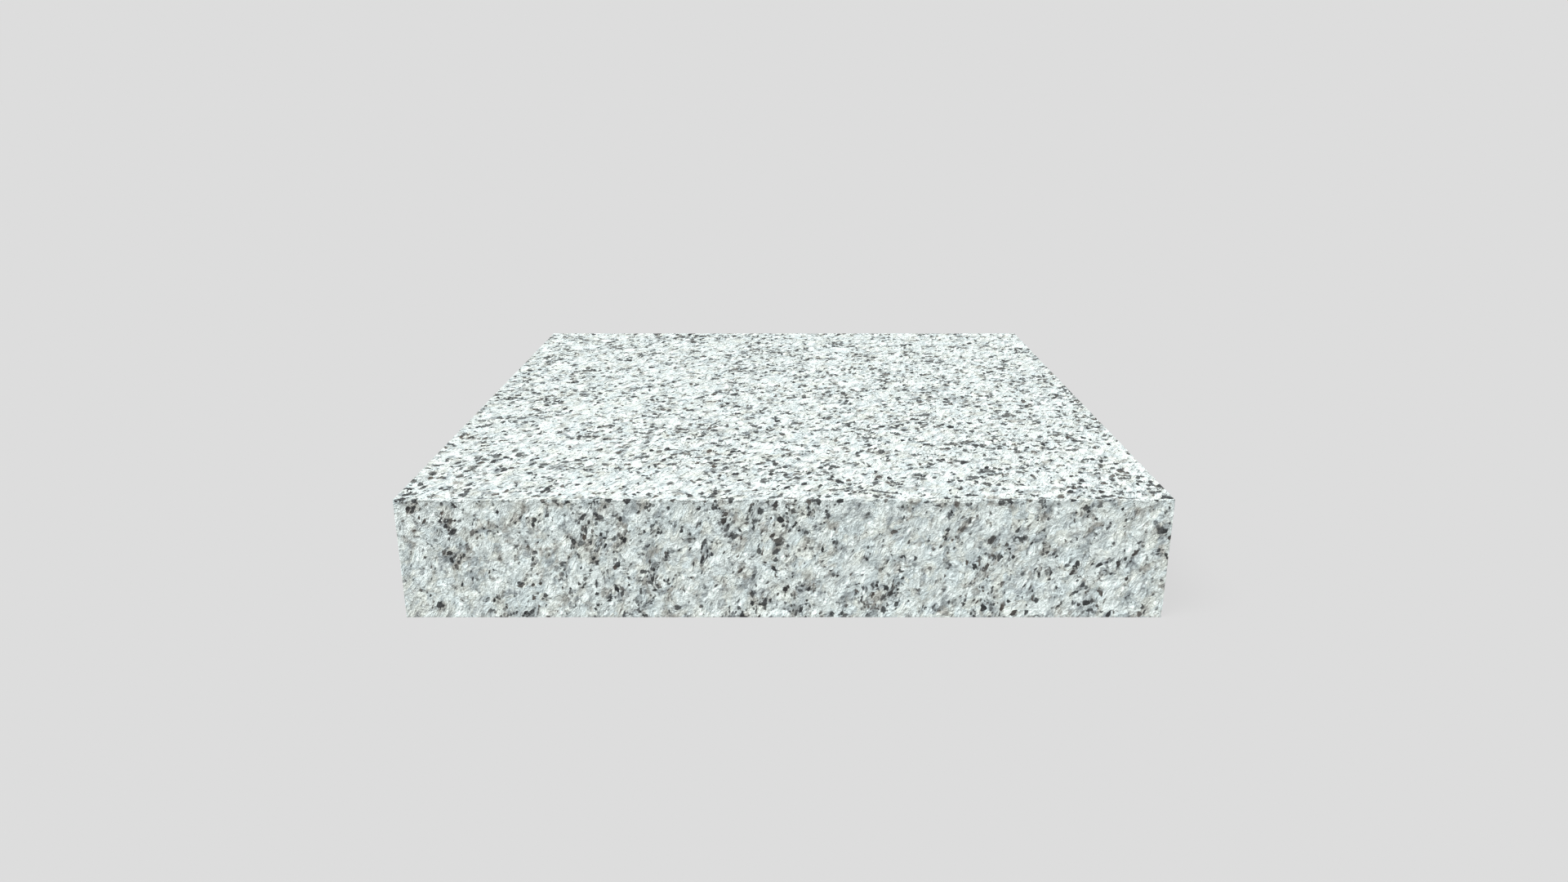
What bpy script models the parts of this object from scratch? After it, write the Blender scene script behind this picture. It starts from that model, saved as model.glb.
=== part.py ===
"""Granite slab for leatherwork: one block of stone, square in plan, that lies flat on the bench.

The block is sawn from a single piece of rock, its faces are dressed and its edges are eased
to a narrow round, so it has no fixings, no feet and nothing inside. The origin is the middle
of the bench face, +Z is up through the working face, and the front face looks along -Y.
"""

import bmesh
import bpy

# Overall sizes, in metres
LENGTH = 0.3048
WIDTH = 0.3048
THICKNESS = 0.0508

# Arrises: the width that the dressing takes off each kind of edge
TOP_ARRIS = 0.0007
CORNER_ARRIS = 0.0006
FOOT_ARRIS = 0.0009
ARRIS_STEPS = 3

# The stone's finish
STONE_COLOUR = (0.62, 0.66, 0.645, 1.0)
STONE_ROUGHNESS = 0.8
STONE_METALLIC = 0.0


def clear_scene():
    """Empties the scene, so that only the slab is left in it."""
    for item in list(bpy.data.objects):
        bpy.data.objects.remove(item, do_unlink=True)


def arris_of(edge):
    """The width taken off an edge: it rings the working face, rings the bench face or stands at a corner."""
    middle = THICKNESS / 2
    heights = [vert.co.z for vert in edge.verts]
    if min(heights) > middle:
        return TOP_ARRIS
    if max(heights) < middle:
        return FOOT_ARRIS
    return CORNER_ARRIS


def block_mesh(widest):
    """The sawn block standing on its bench face, each edge weighted by its share of the widest arris."""
    shape = bmesh.new()
    bmesh.ops.create_cube(shape, size=1.0)
    bmesh.ops.scale(shape, vec=(LENGTH, WIDTH, THICKNESS), verts=shape.verts)
    bmesh.ops.translate(shape, vec=(0.0, 0.0, THICKNESS / 2), verts=shape.verts)
    weight = shape.edges.layers.float.new("bevel_weight_edge")
    for edge in shape.edges:
        edge[weight] = arris_of(edge) / widest
    mesh = bpy.data.meshes.new("granite_slab")
    shape.to_mesh(mesh)
    shape.free()
    return mesh


def granite():
    """Pale grey granite, dressed rough and left without polish."""
    material = bpy.data.materials.new("granite")
    material.use_nodes = True
    shader = material.node_tree.nodes["Principled BSDF"]
    shader.inputs["Base Color"].default_value = STONE_COLOUR
    shader.inputs["Roughness"].default_value = STONE_ROUGHNESS
    shader.inputs["Metallic"].default_value = STONE_METALLIC
    return material


def granite_slab(collection):
    """The whole slab: the block with its edges eased by a live Bevel."""
    widest = max(TOP_ARRIS, CORNER_ARRIS, FOOT_ARRIS)
    slab = bpy.data.objects.new("granite_slab", block_mesh(widest))
    slab.data.materials.append(granite())
    collection.objects.link(slab)
    easing = slab.modifiers.new("eased_arrises", "BEVEL")
    easing.limit_method = "WEIGHT"
    easing.width = widest
    easing.segments = ARRIS_STEPS
    return slab


clear_scene()
parts = bpy.data.collections.new("granite_slab")
bpy.context.scene.collection.children.link(parts)
granite_slab(parts)
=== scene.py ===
import math

import bpy
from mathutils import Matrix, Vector


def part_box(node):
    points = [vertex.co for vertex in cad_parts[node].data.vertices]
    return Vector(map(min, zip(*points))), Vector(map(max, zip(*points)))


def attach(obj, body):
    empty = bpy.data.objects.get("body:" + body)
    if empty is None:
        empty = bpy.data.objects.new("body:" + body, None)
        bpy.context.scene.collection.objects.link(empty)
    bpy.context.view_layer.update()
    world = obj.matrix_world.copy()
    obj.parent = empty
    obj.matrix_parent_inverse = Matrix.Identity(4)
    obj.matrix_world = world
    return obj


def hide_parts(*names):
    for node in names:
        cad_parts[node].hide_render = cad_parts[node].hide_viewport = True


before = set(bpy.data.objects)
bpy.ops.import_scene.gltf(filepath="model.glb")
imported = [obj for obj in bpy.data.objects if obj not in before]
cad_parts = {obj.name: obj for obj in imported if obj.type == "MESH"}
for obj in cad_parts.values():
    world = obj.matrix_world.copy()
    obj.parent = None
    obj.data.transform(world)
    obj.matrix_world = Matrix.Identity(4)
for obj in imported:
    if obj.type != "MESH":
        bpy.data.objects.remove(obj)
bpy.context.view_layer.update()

MM = 0.001


# ---------------------------------------------------------------------------------------------
# Camera. It stands in front of the slab and above it, and looks down at the middle of the block.

EYE_BACK = 0.5392
EYE_HEIGHT = 0.2005
LENS_MM = 24.44
SENSOR_MM = 36.0
NEAREST_SEEN = 0.01
FARTHEST_SEEN = 200.0

low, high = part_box("granite_slab")
middle = (low + high) / 2
eye = Vector((middle.x, middle.y - EYE_BACK, low.z + EYE_HEIGHT))

camera = bpy.data.objects.new("camera", bpy.data.cameras.new("camera"))
camera.data.lens = LENS_MM
camera.data.sensor_width = SENSOR_MM
camera.data.clip_start = NEAREST_SEEN
camera.data.clip_end = FARTHEST_SEEN
camera.location = eye
camera.rotation_mode = "QUATERNION"
camera.rotation_quaternion = (middle - eye).to_track_quat("-Z", "Y")
bpy.context.scene.collection.objects.link(camera)
bpy.context.scene.camera = camera


# ---------------------------------------------------------------------------------------------
# The rock. Medium-grained pale granite: white feldspar, grey quartz between its crystals, and
# ragged grains of black mica that gather in grey smudges. It is one solid mass, so every mineral
# is a field in space, which both the relief and the colour read: a mica grain lies in its pit.


class Wire:
    """One socket of a node tree. Sums and products of wires add the Math nodes that they need."""

    def __init__(self, nodes, socket):
        self.nodes = nodes
        self.socket = socket

    def __add__(self, other):
        return self.nodes.math("ADD", self, other)

    def __radd__(self, other):
        return self.nodes.math("ADD", other, self)

    def __sub__(self, other):
        return self.nodes.math("SUBTRACT", self, other)

    def __rsub__(self, other):
        return self.nodes.math("SUBTRACT", other, self)

    def __mul__(self, other):
        return self.nodes.math("MULTIPLY", self, other)

    def __rmul__(self, other):
        return self.nodes.math("MULTIPLY", other, self)

    def __truediv__(self, other):
        return self.nodes.math("DIVIDE", self, other)

    def __rtruediv__(self, other):
        return self.nodes.math("DIVIDE", other, self)

    def __lt__(self, other):
        return self.nodes.math("LESS_THAN", self, other)

    def __gt__(self, other):
        return self.nodes.math("GREATER_THAN", self, other)

    def __abs__(self):
        return self.nodes.math("ABSOLUTE", self)

    def rise(self, start, end):
        """0 up to start, 1 from end on, and a smooth slope between them."""
        settings = {"interpolation_type": "SMOOTHSTEP"}
        inputs = {"Value": self, "From Min": start, "From Max": end}
        return self.nodes.add("ShaderNodeMapRange", settings, inputs)["Result"]

    def between(self, start, end):
        """start where this wire is 0, end where it is 1, and in proportion between them."""
        return start + (end - start) * self


class Nodes:
    """Adds nodes to one shader tree or geometry tree."""

    def __init__(self, tree):
        self.tree = tree

    def add(self, kind, settings=None, inputs=None):
        """A node of that kind: its settings first, then its sockets. It gives its outputs by name."""
        node = self.tree.nodes.new(kind)
        for name, value in (settings or {}).items():
            setattr(node, name, value)
        self.feed(node, inputs or {})
        outputs = {socket.identifier: Wire(self, socket) for socket in node.outputs}
        outputs.update({socket.name: Wire(self, socket) for socket in reversed(node.outputs)})
        return outputs

    def feed(self, node, inputs):
        """Gives each of the node's named sockets a wire, a list of wires or a plain value."""
        by_identifier = {socket.identifier: socket for socket in node.inputs}
        for key, value in inputs.items():
            socket = by_identifier[key] if key in by_identifier else node.inputs[key]
            wires = value if isinstance(value, list) else [value]
            for wire in wires:
                if isinstance(wire, Wire):
                    self.tree.links.new(wire.socket, socket)
                else:
                    socket.default_value = value

    def math(self, operation, *terms):
        settings = {"operation": operation}
        return self.add("ShaderNodeMath", settings, dict(enumerate(terms)))["Value"]

    def vector(self, operation, *terms):
        settings = {"operation": operation}
        return self.add("ShaderNodeVectorMath", settings, dict(enumerate(terms)))["Vector"]

    def dot(self, first, second):
        settings = {"operation": "DOT_PRODUCT"}
        return self.add("ShaderNodeVectorMath", settings, {0: first, 1: second})["Value"]

    def split(self, vector):
        """The X, Y and Z of a vector, or the red, green and blue of a colour."""
        outputs = self.add("ShaderNodeSeparateXYZ", {}, {"Vector": vector})
        return outputs["X"], outputs["Y"], outputs["Z"]

    def join(self, x, y, z):
        return self.add("ShaderNodeCombineXYZ", {}, {"X": x, "Y": y, "Z": z})["Vector"]

    def mix(self, share, first, second):
        """The first colour where share is 0 and the second where it is 1."""
        inputs = {"Factor_Float": share, "A_Color": first, "B_Color": second}
        return self.add("ShaderNodeMix", {"data_type": "RGBA"}, inputs)["Result_Color"]

    def noise(self, place, size, detail=2.0, roughness=0.6):
        """Soft lumps of about that size: Fac is one number and Color is three."""
        inputs = {"Vector": place, "Scale": 1 / size, "Detail": detail, "Roughness": roughness}
        return self.add("ShaderNodeTexNoise", {}, inputs)

    def lumps(self, place, size, detail=2.0, roughness=0.6):
        """Soft lumps of about that size, as one number that swings either side of 0."""
        return self.noise(place, size, detail, roughness)["Fac"] - 0.5

    def crystals(self, place, size):
        """Space filled with close-packed crystals of about that size."""
        inputs = {"Vector": place, "Scale": 1 / size}
        return self.add("ShaderNodeTexVoronoi", {"feature": "F1"}, inputs)

    def drifted(self, place, size, reach):
        """The place pushed about by up to reach, in lumps of that size, so that borders wander."""
        noise = self.noise(place, size, detail=0.0)["Color"]
        push = self.vector("SUBTRACT", noise, (0.5, 0.5, 0.5))
        return self.vector("MULTIPLY_ADD", push, (2 * reach,) * 3, place)

    def stretched(self, place, way, times):
        """The place squeezed along one way, so that what is laid out in it is that many times as long."""
        along = self.dot(place, way) * (1 / times - 1)
        return self.vector("MULTIPLY_ADD", self.join(along, along, along), way, place)


# Where in the quarry the block was cut: it picks one stretch of the endless rock.
QUARRY_PLACE = Vector((3.17, 1.29, 0.83))

# The rift is the way in which the crystals grew a little longer and the stone breaks in streaks.
RIFT = Vector((1.0, 1.7, 2.1)).normalized()
RIFT_STRETCH = 1.7
STREAK_STRETCH = 1.6

# Borders between crystals wander: the size of the lumps that push them, and how far they go.
WIDE_WANDER = (7.0 * MM, 1.4 * MM)
FINE_WANDER = (1.2 * MM, 0.30 * MM)

COARSE_MICA = 2.4 * MM
FINE_MICA = 1.35 * MM
RAGGED_SIZE = 1.0 * MM
SMUDGE_SIZE = 3.2 * MM
CLOT_SIZE = 6.5 * MM
QUARTZ_SIZE = 5.0 * MM
BED_SIZE = 20.0 * MM

# How much a clot and a bed add to a smudge.
CLOT_SMUDGE = 0.32
BED_SMUDGE = 0.12
SMUDGE_SHOWS = (-0.02, 0.14)

# How rich in mica a smudge and a bed make the rock.
SMUDGE_RICHNESS = 2.4
BED_RICHNESS = 0.8

# A crystal becomes mica by luck, and a grain of mica reaches this share of a crystal's size.
GRAIN_LUCK = (0.55, 1.05)
GRAIN_REACH = 0.62
RAGGEDNESS = 0.7
COARSE_SCARCITY = 0.06
FINE_PLENTY = 0.08

# How deep inside its outline a grain turns fully dark, and how dark the palest grain is.
COARSE_EDGE = (-0.02, 0.14)
FINE_EDGE = (-0.02, 0.24)
PALEST_COARSE = 0.80
PALEST_FINE = 0.45

# Quartz fills the middle of its clouds, with a little more in the clots.
QUARTZ_SHOWS = (0.05, 0.16)
CLOT_QUARTZ = 0.1

# The flame that dressed the working face laid its coarse mica bare, and burnt the finest away.
WORKING_FACE = (49.2 * MM, 49.8 * MM)
LAID_BARE = 0.14
LAID_OPEN = 0.10
BURNT_AWAY = 0.20


def mica_grains(nodes, place, size, richness, ragged):
    """How far inside a grain of mica the place is, in grain sizes, and that grain's kind and shade."""
    crystal = nodes.crystals(place, size)
    luck, kind, shade = nodes.split(crystal["Color"])
    reach = GRAIN_REACH * (luck + richness).rise(*GRAIN_LUCK)
    return reach - crystal["Distance"] + ragged, kind, shade


def minerals(nodes, place):
    """Where each mineral lies, from 0 to 1, as a dict of wires."""
    rock = nodes.vector("ADD", nodes.stretched(place, RIFT, RIFT_STRETCH), QUARRY_PLACE)
    wandering = nodes.drifted(nodes.drifted(rock, *WIDE_WANDER), *FINE_WANDER)
    on_top = nodes.split(place)[2].rise(*WORKING_FACE)

    bed = nodes.lumps(rock, BED_SIZE, detail=1.0, roughness=0.5)
    clot = nodes.lumps(wandering, CLOT_SIZE, detail=1.0, roughness=0.5)
    smudge = nodes.lumps(wandering, SMUDGE_SIZE, detail=3.0)
    smudge = smudge + CLOT_SMUDGE * clot + BED_SMUDGE * bed

    richness = SMUDGE_RICHNESS * smudge + BED_RICHNESS * bed
    ragged = RAGGEDNESS * nodes.lumps(wandering, RAGGED_SIZE)
    coarse_richness = richness - COARSE_SCARCITY + LAID_BARE * on_top
    coarse_ragged = ragged + LAID_OPEN * on_top
    coarse, kind, shade = mica_grains(nodes, wandering, COARSE_MICA, coarse_richness, coarse_ragged)
    coarse_dark = coarse.rise(*COARSE_EDGE) * shade.between(PALEST_COARSE, 1.0)
    fine_ragged = ragged - BURNT_AWAY * on_top
    fine, _, shade = mica_grains(nodes, wandering, FINE_MICA, richness + FINE_PLENTY, fine_ragged)
    fine_dark = fine.rise(*FINE_EDGE) * shade.between(PALEST_FINE, 1.0)

    clouds = nodes.lumps(wandering, QUARTZ_SIZE) + CLOT_QUARTZ * clot
    return {
        "rock": rock,
        "wandering": wandering,
        "streaked": nodes.stretched(wandering, RIFT, STREAK_STRETCH),
        "on_top": on_top,
        "mica": nodes.math("MAXIMUM", coarse_dark, fine_dark),
        "mica_kind": kind,
        "smudge": smudge.rise(*SMUDGE_SHOWS),
        "quartz": clouds.rise(*QUARTZ_SHOWS),
    }


# ---------------------------------------------------------------------------------------------
# The block. Its top and its sides are dressed rough with a hammer and a flame, which breaks the
# stone out crystal by crystal, and its underside is left flat from the saw. Its edges are eased.

# The grid's pitch, how far its lines move towards the edges, and how far in from them that tells.
GRID_PITCH = 1.27 * MM
EDGE_CROWDING = 2.2 * MM
CROWDING_REACH = 2.8 * MM

# Points this close to a sawn face lie on it, and points this close to each other are one.
ON_FACE = 0.01 * MM
WELD = 0.001 * MM
FACING_DOWN = -0.9
SHARP_ANGLE = math.radians(50)

# The relief, and what its depth is made up of: an even share, and what swells, lumps, facets
# and mica add. Only a little of it is left right at an edge, so that the edge stays straight.
RELIEF = 0.55 * MM
EVEN_BREAK = 0.65
SWELL_SIZE = 26.0 * MM
SWELL_BREAK = 0.4
LUMP_SIZE = 4.5 * MM
LUMP_BREAK = 3.0
FACET_SIZE = 4.6 * MM
FACET_BREAK = 0.25 / MM
MICA_BREAK = 0.3
LEAST_BREAK = 0.02
EDGE_RELIEF = 0.05
EDGE_REACH = 4.0 * MM

# The edges are eased all along, and small chips are nibbled out of them here and there.
ARRIS = 0.08 * MM
ARRIS_REACH = 0.4 * MM
CHIP_DEPTH = 0.35 * MM
CHIP_REACH = 2.4 * MM
CHIP_SIZE = 4.5 * MM
CHIP_SHOWS = (0.12, 0.26)


def facets(nodes, place, size):
    """How far each crystal's broken face stands proud, as every crystal leans its own way."""
    crystal = nodes.crystals(place, size)
    lean = nodes.vector("SUBTRACT", crystal["Color"], (0.5, 0.5, 0.5))
    return nodes.dot(nodes.vector("SUBTRACT", place, crystal["Position"]), lean)


geometry = bpy.data.node_groups.new("dressed_block", "GeometryNodeTree")
nodes = Nodes(geometry)
sizes = {
    "Length": high.x - low.x,
    "Width": high.y - low.y,
    "Thickness": high.z - low.z,
    "Relief": RELIEF,
    "Arris": ARRIS,
    "Chip Depth": CHIP_DEPTH,
}
for name in sizes:
    geometry.interface.new_socket(name=name, in_out="INPUT", socket_type="NodeSocketFloat")
geometry.interface.new_socket(name="Stone", in_out="INPUT", socket_type="NodeSocketMaterial")
geometry.interface.new_socket(name="Block", in_out="OUTPUT", socket_type="NodeSocketGeometry")

# The sawn block, as an even grid whose lines then crowd towards the edges.
given = nodes.add("NodeGroupInput")
size = nodes.join(given["Length"], given["Width"], given["Thickness"])
limits = nodes.split(nodes.vector("MULTIPLY", size, (0.5, 0.5, 0.5)))
lines = {f"Vertices {axis}": round(side / GRID_PITCH) + 1 for axis, side in zip("XYZ", high - low)}
block = nodes.add("GeometryNodeMeshCube", {}, {"Size": size, **lines})["Mesh"]
sawn = nodes.add("GeometryNodeInputPosition")["Position"]
outward = nodes.split(nodes.vector("SIGN", sawn))
crowded = []
for along, side, limit in zip(nodes.split(sawn), outward, limits):
    inset = limit - abs(along)
    pull = EDGE_CROWDING * (1 - nodes.math("EXPONENT", inset * (-1 / CROWDING_REACH)))
    inset = nodes.math("MAXIMUM", inset * (1 + EDGE_CROWDING / limit) - pull, 0.0)
    crowded.append(side * (limit - inset))
standing = {"Geometry": block, "Position": nodes.vector("ADD", nodes.join(*crowded), middle)}
block = nodes.add("GeometryNodeSetPosition", {}, standing)["Geometry"]

# The dressing breaks stone away, inwards from each sawn face, and nowhere adds any.
place = nodes.add("GeometryNodeInputPosition")["Position"]
from_middle = nodes.vector("SUBTRACT", place, middle)
outward = nodes.split(nodes.vector("SIGN", from_middle))
gaps = [limit - abs(along) for along, limit in zip(nodes.split(from_middle), limits)]
on_side = [gap < ON_FACE for gap in gaps]
on_top = on_side[2] * (outward[2] > 0.0)
nearer = nodes.math("MINIMUM", gaps[0], gaps[1])
farther = nodes.math("MAXIMUM", gaps[0], gaps[1])
from_edge = nodes.math("MAXIMUM", nearer, nodes.math("MINIMUM", farther, gaps[2]))

found = minerals(nodes, place)
swell = nodes.lumps(found["rock"], SWELL_SIZE, detail=1.0, roughness=0.5)
lump = nodes.lumps(found["streaked"], LUMP_SIZE)
facet = facets(nodes, found["streaked"], FACET_SIZE)
broken = EVEN_BREAK + SWELL_BREAK * swell + LUMP_BREAK * lump
broken = broken + FACET_BREAK * facet + MICA_BREAK * found["mica"]
depth = given["Relief"] * nodes.math("MAXIMUM", broken, LEAST_BREAK)
depth = depth * from_edge.rise(0.0, EDGE_REACH).between(EDGE_RELIEF, 1.0)

nibble = nodes.lumps(found["rock"], CHIP_SIZE).rise(*CHIP_SHOWS)
near_edge = 1 - from_edge.rise(0.0, CHIP_REACH)
eased = given["Arris"] * (1 - from_edge.rise(0.0, ARRIS_REACH))
depth = depth + eased + given["Chip Depth"] * nibble * near_edge
pushed = nodes.join(
    outward[0] * on_side[0] * depth * -1,
    outward[1] * on_side[1] * depth * -1,
    on_top * depth * -1,
)
block = nodes.add("GeometryNodeSetPosition", {}, {"Geometry": block, "Offset": pushed})["Geometry"]

# The underside stays flat, so one fill of its outline takes the place of its grid.
downward = nodes.split(nodes.add("GeometryNodeInputNormal")["Normal"])[2] < FACING_DOWN
height = nodes.split(nodes.add("GeometryNodeInputPosition")["Position"])[2]
cut = {"Geometry": block, "Selection": downward * (height < ON_FACE)}
block = nodes.add("GeometryNodeDeleteGeometry", {"domain": "FACE", "mode": "ALL"}, cut)["Geometry"]
rim = nodes.add("GeometryNodeInputMeshEdgeNeighbors")["Face Count"] < 2
outline = nodes.add("GeometryNodeMeshToCurve", {}, {"Mesh": block, "Selection": rim})["Curve"]
foot = nodes.add("GeometryNodeFillCurve", {"mode": "TRIANGLES"}, {"Curve": outline})["Mesh"]
foot = nodes.add("GeometryNodeFlipFaces", {}, {"Mesh": foot})["Mesh"]
block = nodes.add("GeometryNodeJoinGeometry", {}, {"Geometry": [foot, block]})["Geometry"]
welded = {"Geometry": block, "Distance": WELD}
block = nodes.add("GeometryNodeMergeByDistance", {}, welded)["Geometry"]
block = nodes.add("GeometryNodeRealizeInstances", {}, {"Geometry": block})["Geometry"]
stone = {"Geometry": block, "Material": given["Stone"]}
block = nodes.add("GeometryNodeSetMaterial", {}, stone)["Geometry"]
nodes.add("NodeGroupOutput", {}, {"Block": block})

granite = bpy.data.materials.new("granite")
granite.use_nodes = True

slab = bpy.data.objects.new("dressed_slab", bpy.data.meshes.new("dressed_slab"))
bpy.context.scene.collection.objects.link(slab)
dressing = slab.modifiers.new("dressing", "NODES")
dressing.node_group = geometry
values = {**sizes, "Stone": granite}
for item in geometry.interface.items_tree:
    if item.in_out == "INPUT":
        dressing[item.identifier] = values[item.name]
bpy.context.view_layer.update()
evaluated = slab.evaluated_get(bpy.context.evaluated_depsgraph_get())
slab_mesh = bpy.data.meshes.new_from_object(evaluated)
slab.modifiers.clear()
slab.data = slab_mesh
slab_mesh.shade_smooth()
slab_mesh.set_sharp_from_angle(angle=SHARP_ANGLE)


# ---------------------------------------------------------------------------------------------
# The granite's colour and finish. The feldspar is a cool white with cream and blue-grey in it,
# the quartz is a glassy grey, and the mica is black to brown. Nothing is polished.

MICA_DARK = (0.014, 0.016, 0.018, 1.0)
MICA_BROWN = (0.075, 0.060, 0.048, 1.0)
QUARTZ_GREY = (0.27, 0.31, 0.325, 1.0)
QUARTZ_WARM = (0.34, 0.34, 0.31, 1.0)
FELDSPAR_COOL = (0.69, 0.785, 0.785, 1.0)
FELDSPAR_CREAM = (0.755, 0.81, 0.755, 1.0)
FELDSPAR_WHITE = (0.815, 0.90, 0.88, 1.0)

FELDSPAR_SIZE = 3.0 * MM
TINT_SIZE = 6.0 * MM
STREAK_SIZE = 1.5 * MM

# The way the dressing tool was drawn over the working face, and the strokes that it left.
# The strokes show in the bump, and in the colour as painted shade.
STROKE_WAY = Vector((1.0, 1.5, 0.0)).normalized()
STROKE_SIZE = 1.7 * MM
STROKE_STRETCH = 4.5
STREAKS_WORN = 0.5
SMUDGES_FAINTER_ON_TOP = 0.6

# Each tone shows from one level of its field to another, and the strengths are shares of the whole.
CREAM_SHOWS = (0.52, 0.80)
WHITE_SHOWS = (0.40, 0.64)
WARM_QUARTZ_SHOWS = (0.45, 0.60)
BROWN_MICA_SHOWS = (0.75, 0.97)
QUARTZ_STRENGTH = (0.40, 0.90)
SMUDGE_STRENGTH = (0.30, 1.10)
CRYSTAL_CREAM = 0.3

# Brightness: the even level on the sides; how much lower it is on top, a painted shade that
# tones down the strong light falling there; and what varies it: painted shade of the relief's
# streaks and strokes, and each crystal's own tone.
EVEN_SHADE = 1.09
TOP_PAINTED_SHADE = -0.10
STREAK_PAINTED_SHADE = 1.3
STROKE_PAINTED_SHADE = 1.3
CRYSTAL_SHADE = 0.10

ROUGH_FELDSPAR = 0.82
SMOOTHER_MICA = 0.22
SMOOTHER_QUARTZ = 0.10

# The finest relief, as heights in millimetres.
GRIT_SIZE = 0.9 * MM
GRIT_HEIGHT = 0.4
STREAK_HEIGHT = 3.0
STROKE_HEIGHT = 3.8
FINE_FACET_SIZE = 2.2 * MM
FINE_FACET_HEIGHT = 0.8 / MM
TOP_FACETS = 0.7
MICA_PIT = 0.15

nodes = Nodes(granite.node_tree)
shader = granite.node_tree.nodes["Principled BSDF"]
place = nodes.add("ShaderNodeTexCoord")["Object"]
found = minerals(nodes, place)

on_top = found["on_top"]
mica = found["mica"]

tint, veil, _ = nodes.split(nodes.noise(found["wandering"], TINT_SIZE)["Color"])
crystal = nodes.crystals(found["wandering"], FELDSPAR_SIZE)
crystal_tint, crystal_tone, _ = nodes.split(crystal["Color"])
streak = nodes.lumps(found["streaked"], STREAK_SIZE, detail=3.0, roughness=0.65)
streak = streak * (1 - STREAKS_WORN * on_top)
stroked = nodes.stretched(place, STROKE_WAY, STROKE_STRETCH)
stroke = on_top * nodes.lumps(stroked, STROKE_SIZE)

creamy = (tint + CRYSTAL_CREAM * crystal_tint).rise(*CREAM_SHOWS)
colour = nodes.mix(creamy, FELDSPAR_COOL, FELDSPAR_CREAM)
colour = nodes.mix(veil.rise(*WHITE_SHOWS), colour, FELDSPAR_WHITE)
quartz = nodes.mix(tint.rise(*WARM_QUARTZ_SHOWS), QUARTZ_GREY, QUARTZ_WARM)
colour = nodes.mix(found["quartz"] * crystal_tone.between(*QUARTZ_STRENGTH), colour, quartz)
# The smudges show fainter on the top face than on the sides.
smudged = found["smudge"] * tint.between(*SMUDGE_STRENGTH) * (1 - SMUDGES_FAINTER_ON_TOP * on_top)
colour = nodes.mix(smudged, colour, quartz)

# The colour carries painted shade: lighter and darker along the streaks and strokes of the relief, and
# darker on top.
shade = EVEN_SHADE + TOP_PAINTED_SHADE * on_top + STREAK_PAINTED_SHADE * streak + STROKE_PAINTED_SHADE * stroke
shade = shade + CRYSTAL_SHADE * (crystal_tone - 0.5)
colour = nodes.vector("MULTIPLY", colour, nodes.join(shade, shade, shade))
mica_colour = nodes.mix(found["mica_kind"].rise(*BROWN_MICA_SHOWS), MICA_DARK, MICA_BROWN)
colour = nodes.mix(mica, colour, mica_colour)

rough = ROUGH_FELDSPAR - SMOOTHER_MICA * mica - SMOOTHER_QUARTZ * found["quartz"]

grit = nodes.lumps(found["rock"], GRIT_SIZE)
facet = facets(nodes, found["streaked"], FINE_FACET_SIZE) * FINE_FACET_HEIGHT
height = GRIT_HEIGHT * grit + STREAK_HEIGHT * streak + STROKE_HEIGHT * stroke
height = height + facet * on_top.between(1.0, TOP_FACETS) - MICA_PIT * mica
relief = {"Strength": 1.0, "Distance": 1.0 * MM, "Height": height}
bump = nodes.add("ShaderNodeBump", {}, relief)["Normal"]
nodes.feed(shader, {"Base Color": colour, "Roughness": rough, "Normal": bump})

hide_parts("granite_slab")
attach(slab, "root")


# ---------------------------------------------------------------------------------------------
# Studio. The floor is a lit table and the room round it is pale and dim, and both look equally
# bright. One wide soft lamp hangs over the slab, a little to the left and to the front.

SURROUND = 0.723
ROOM_LIGHT = 0.55
FLOOR_GLOW = 0.66
FLOOR_REACH = 30.0
FLOOR_GAP = 0.05 * MM
SOFTBOX_STRENGTH = 3.95
SOFTBOX_SPREAD = 0.5
SOFTBOX_WAY = Vector((0.43, 0.28, -0.84)).normalized()

lamp = bpy.data.lights.new("overhead_softbox", "SUN")
lamp.energy = SOFTBOX_STRENGTH
lamp.angle = SOFTBOX_SPREAD
softbox = bpy.data.objects.new("overhead_softbox", lamp)
softbox.rotation_mode = "QUATERNION"
softbox.rotation_quaternion = SOFTBOX_WAY.to_track_quat("-Z", "Y")
bpy.context.scene.collection.objects.link(softbox)

# The table's paint makes up what its glow leaves short of the surround, under the light it gets.
light_on_floor = ROOM_LIGHT + SOFTBOX_STRENGTH * -SOFTBOX_WAY.z / math.pi
paint_white = (SURROUND - FLOOR_GLOW) / light_on_floor
paint = bpy.data.materials.new("floor_paint")
paint.use_nodes = True
painted = {
    "Base Color": (paint_white, paint_white, paint_white, 1.0),
    "Roughness": 1.0,
    "Specular IOR Level": 0.0,
    "Emission Color": (1.0, 1.0, 1.0, 1.0),
    "Emission Strength": FLOOR_GLOW,
}
Nodes(paint.node_tree).feed(paint.node_tree.nodes["Principled BSDF"], painted)

corners = [(x * FLOOR_REACH, y * FLOOR_REACH) for x, y in ((-1, -1), (1, -1), (1, 1), (-1, 1))]
floor_mesh = bpy.data.meshes.new("floor")
floor_mesh.from_pydata([(x, y, low.z - FLOOR_GAP) for x, y in corners], [], [(0, 1, 2, 3)])
floor_mesh.materials.append(paint)
floor = bpy.data.objects.new("floor", floor_mesh)
bpy.context.scene.collection.objects.link(floor)

# What the camera sees of the surround is brighter than the light that the dim room casts.
world = bpy.data.worlds.new("surround")
world.use_nodes = True
nodes = Nodes(world.node_tree)
seen = nodes.add("ShaderNodeLightPath")["Is Camera Ray"]
surround = {"Color": (1.0, 1.0, 1.0, 1.0), "Strength": seen.between(ROOM_LIGHT, SURROUND)}
nodes.feed(world.node_tree.nodes["Background"], surround)
bpy.context.scene.world = world
bpy.context.scene.view_settings.view_transform = "Standard"
